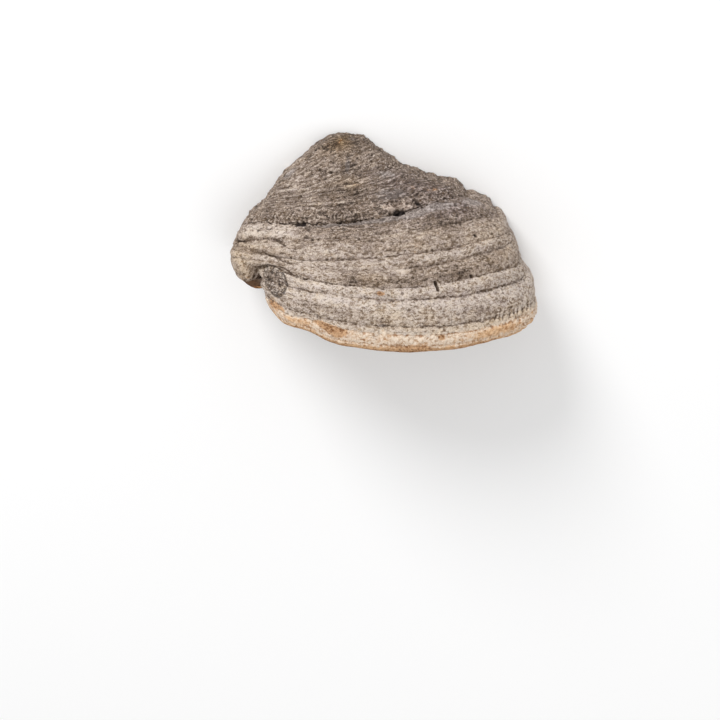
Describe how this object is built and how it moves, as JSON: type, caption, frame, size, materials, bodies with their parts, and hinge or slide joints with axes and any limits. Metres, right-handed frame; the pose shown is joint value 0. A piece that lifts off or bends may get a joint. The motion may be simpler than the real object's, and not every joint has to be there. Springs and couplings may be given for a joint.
{
  "type": "dried tinder fungus",
  "caption": "Dried tinder fungus conk: a hoof-shaped bracket with ringed growth zones and a rounded margin, cut flat at the trunk and resting on the cut.",
  "frame": {"origin": "on the flat trunk cut, midway across the conk and about midway up it", "axes": "+Z out of the trunk, away from the cut; +Y the way up while the conk grew, so the pores face -Y; +X to the right seen from the front"},
  "size_m": [0.1561, 0.0856, 0.081],
  "materials": {
    "crust": "rough, matte"
  },
  "bodies": {
    "root": {"conk": "crust"}
  },
  "joints": []
}
